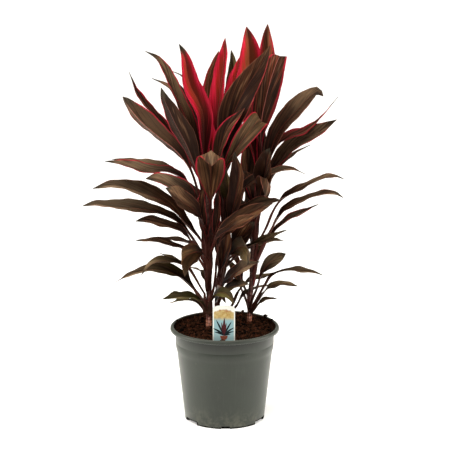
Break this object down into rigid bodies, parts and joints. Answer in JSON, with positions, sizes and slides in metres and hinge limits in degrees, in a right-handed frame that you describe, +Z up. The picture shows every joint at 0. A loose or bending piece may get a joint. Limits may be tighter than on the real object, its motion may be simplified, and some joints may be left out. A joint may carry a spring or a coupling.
{
  "type": "potted ti plant",
  "caption": "Ti plant with bronze, crimson-edged strap leaves on upright canes, standing in a round nursery pot of soil with a plant label.",
  "frame": {"origin": "centre of the pot's foot, on the ground plane", "axes": "+Z up along the pot's axis, -Y towards the front with the plant label, +X to the right seen from the front"},
  "size_m": [0.5017, 0.4309, 0.7516],
  "materials": {
    "pot": "satin",
    "soil": "matte",
    "label": "satin",
    "stem_left": "satin",
    "stem_middle": "satin",
    "stem_right": "satin",
    "heart_left": "satin",
    "heart_middle": "satin",
    "heart_right": "satin"
  },
  "bodies": {
    "root": {"pot": "pot", "soil": "soil", "label": "label", "stem_left": "stem_left", "stem_middle": "stem_middle", "stem_right": "stem_right", "heart_left": "heart_left", "heart_middle": "heart_middle", "heart_right": "heart_right"}
  },
  "joints": []
}
